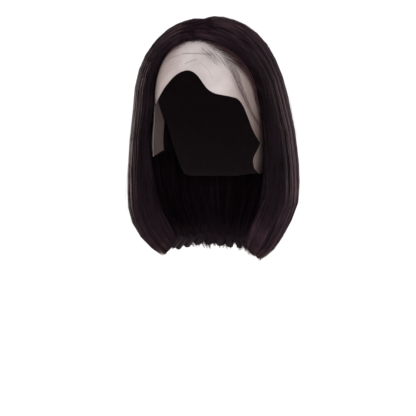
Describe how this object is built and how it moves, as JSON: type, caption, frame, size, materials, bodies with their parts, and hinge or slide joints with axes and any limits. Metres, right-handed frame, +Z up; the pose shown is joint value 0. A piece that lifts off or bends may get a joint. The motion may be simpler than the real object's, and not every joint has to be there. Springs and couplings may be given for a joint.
{
  "type": "lace-front bob wig",
  "caption": "Chin-length straight bob wig with a centre parting, a trimmed lace front with ear tabs and a stretch cap, shaped as worn on a head.",
  "frame": {"origin": "inside of the cap's crown, where the top of the wearer's head carries it", "axes": "+Z up along the hanging hair, the face opening toward -Y, +X toward the wearer's left ear"},
  "size_m": [0.2234, 0.2235, 0.3232],
  "materials": {
    "lace": "fine matt taupe net",
    "cap_net": "dark brown stretch net",
    "hair": "straight dark brown hair, satin"
  },
  "bodies": {
    "root": {"lace_front": "lace", "stretch_cap": "cap_net", "hair_left": "hair", "hair_right": "hair", "hair_back": "hair"}
  },
  "joints": []
}
